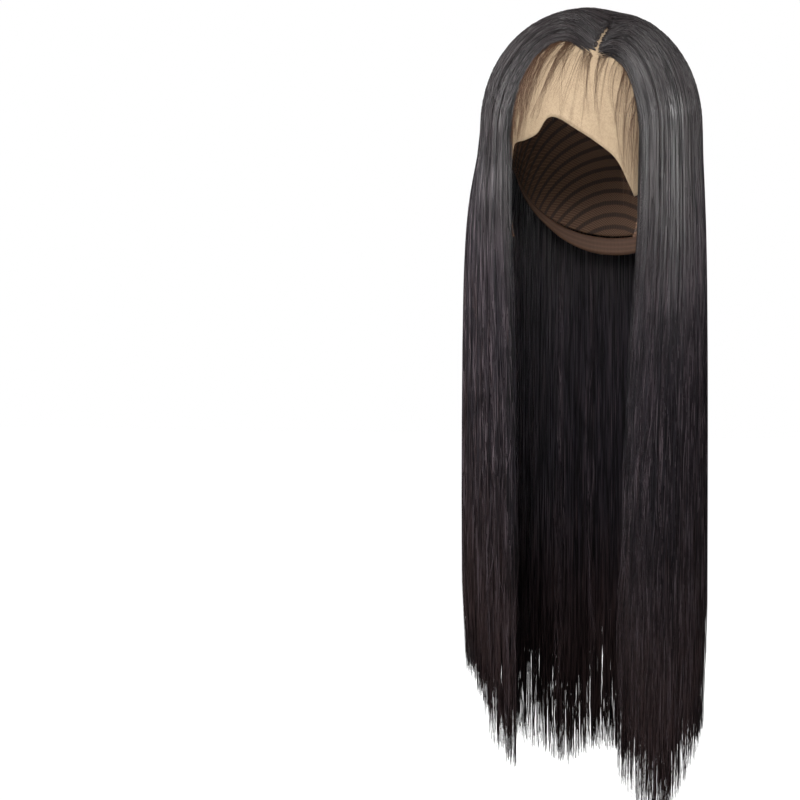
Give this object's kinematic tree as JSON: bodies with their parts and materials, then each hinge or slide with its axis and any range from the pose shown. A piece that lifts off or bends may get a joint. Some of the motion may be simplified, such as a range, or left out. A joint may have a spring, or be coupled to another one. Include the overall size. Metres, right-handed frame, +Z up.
{
  "type": "lace front wig",
  "caption": "Long straight black wig with a side parting, a sheer tan lace front from ear to ear and a stretch cap behind it, open below for the head and between its curtains of hair.",
  "frame": {"origin": "inside of the cap at the crown, where it bears on the top of a head", "axes": "+Z up along the hanging hair, the face towards -Y, the wearer's left towards +X"},
  "size_m": [0.2191, 0.2196, 0.7198],
  "materials": {
    "lace": "fine sheer tan net, matt",
    "cap": "brown stretch net with sewn rows, matt",
    "hair": "straight natural black hair with a soft grey sheen"
  },
  "bodies": {
    "root": {"lace_front": "lace", "cap": "cap", "right_hair": "hair", "left_hair": "hair", "back_hair": "hair"}
  },
  "joints": []
}
